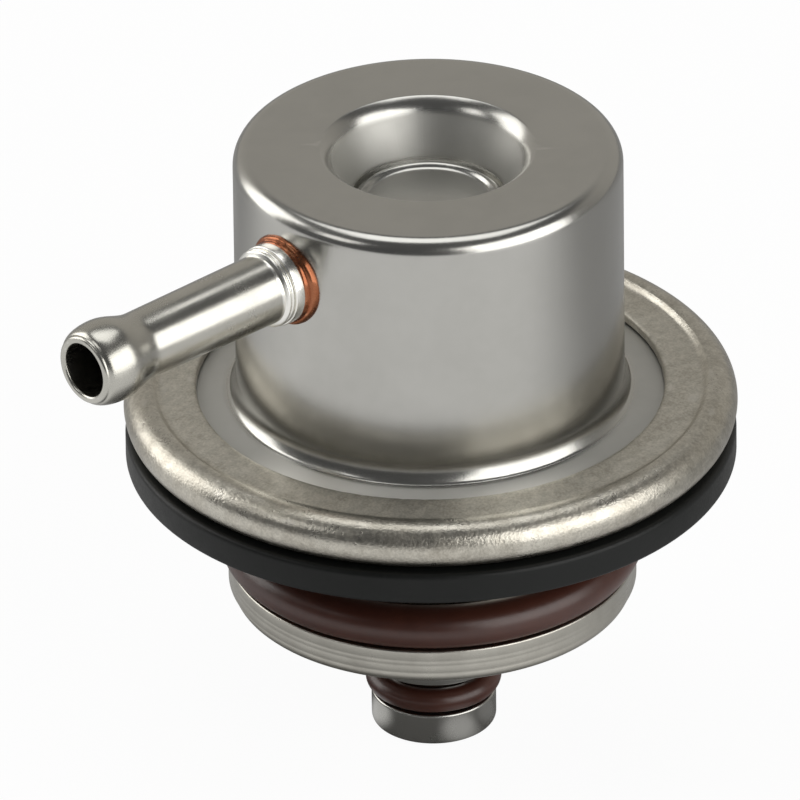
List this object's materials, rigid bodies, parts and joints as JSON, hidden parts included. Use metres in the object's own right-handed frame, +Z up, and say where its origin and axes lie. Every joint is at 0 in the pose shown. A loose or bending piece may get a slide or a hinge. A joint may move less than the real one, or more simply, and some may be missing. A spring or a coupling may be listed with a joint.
{
  "type": "fuel pressure regulator",
  "caption": "Diaphragm fuel pressure regulator: drawn can with a side vacuum nipple, crimped flange, black support ring, O-ring neck and a return tube with its own O-ring.",
  "frame": {"origin": "on the regulator's axis, at the underside of the black support ring, which is the seat plane on the fuel rail", "axes": "+Z up along the regulator's axis towards the can's top, +X along the vacuum nipple"},
  "size_m": [0.0599, 0.048, 0.0511],
  "materials": {
    "drawn_steel": "satin drawn and plated sheet steel",
    "plated_steel": "grainy zinc-plated steel, warmer and rougher than the can",
    "spring_steel": "dark oiled spring wire",
    "hard_steel": "ground and hardened steel",
    "copper_braze": "copper braze fillet, semi-gloss",
    "brown_rubber": "dark red-brown fuel-proof elastomer with a soft sheen",
    "black_polymer": "matt black polymer",
    "rubber_cloth": "rubberised cloth, matt",
    "fine_mesh": "fine stainless strainer"
  },
  "bodies": {
    "housing": {"upper_housing": "drawn_steel", "lower_housing": "plated_steel", "support_ring": "black_polymer", "base_cap": "plated_steel", "inlet_strainer": "fine_mesh", "return_tube": "drawn_steel", "valve_seat": "hard_steel", "vacuum_nipple": "drawn_steel", "braze_ring": "copper_braze", "spring_cap": "plated_steel", "main_spring": "spring_steel", "diaphragm": "rubber_cloth", "large_o_ring": "brown_rubber", "small_o_ring": "brown_rubber"},
    "valve_carrier": {"spring_plate": "plated_steel", "diaphragm_washer": "plated_steel", "valve_holder": "hard_steel", "ball_retainer": "hard_steel", "ball_spring": "spring_steel"},
    "swivel_ball": {"valve_ball": "hard_steel"}
  },
  "joints": [
    {"name": "valve_lift", "type": "slide", "parent": "housing", "child": "valve_carrier", "axis": [0, 0, 1], "range_m": [0, 0.0006], "stiffness_N_per_m": 600, "springref_m": -0.002, "deforming": ["main_spring", "diaphragm"]},
    {"name": "ball_swivel", "type": "hinge", "parent": "valve_carrier", "child": "swivel_ball", "pos_m": [0, 0, -0.0009], "axis": [1, 0, 0], "range_deg": [-3, 3]}
  ]
}
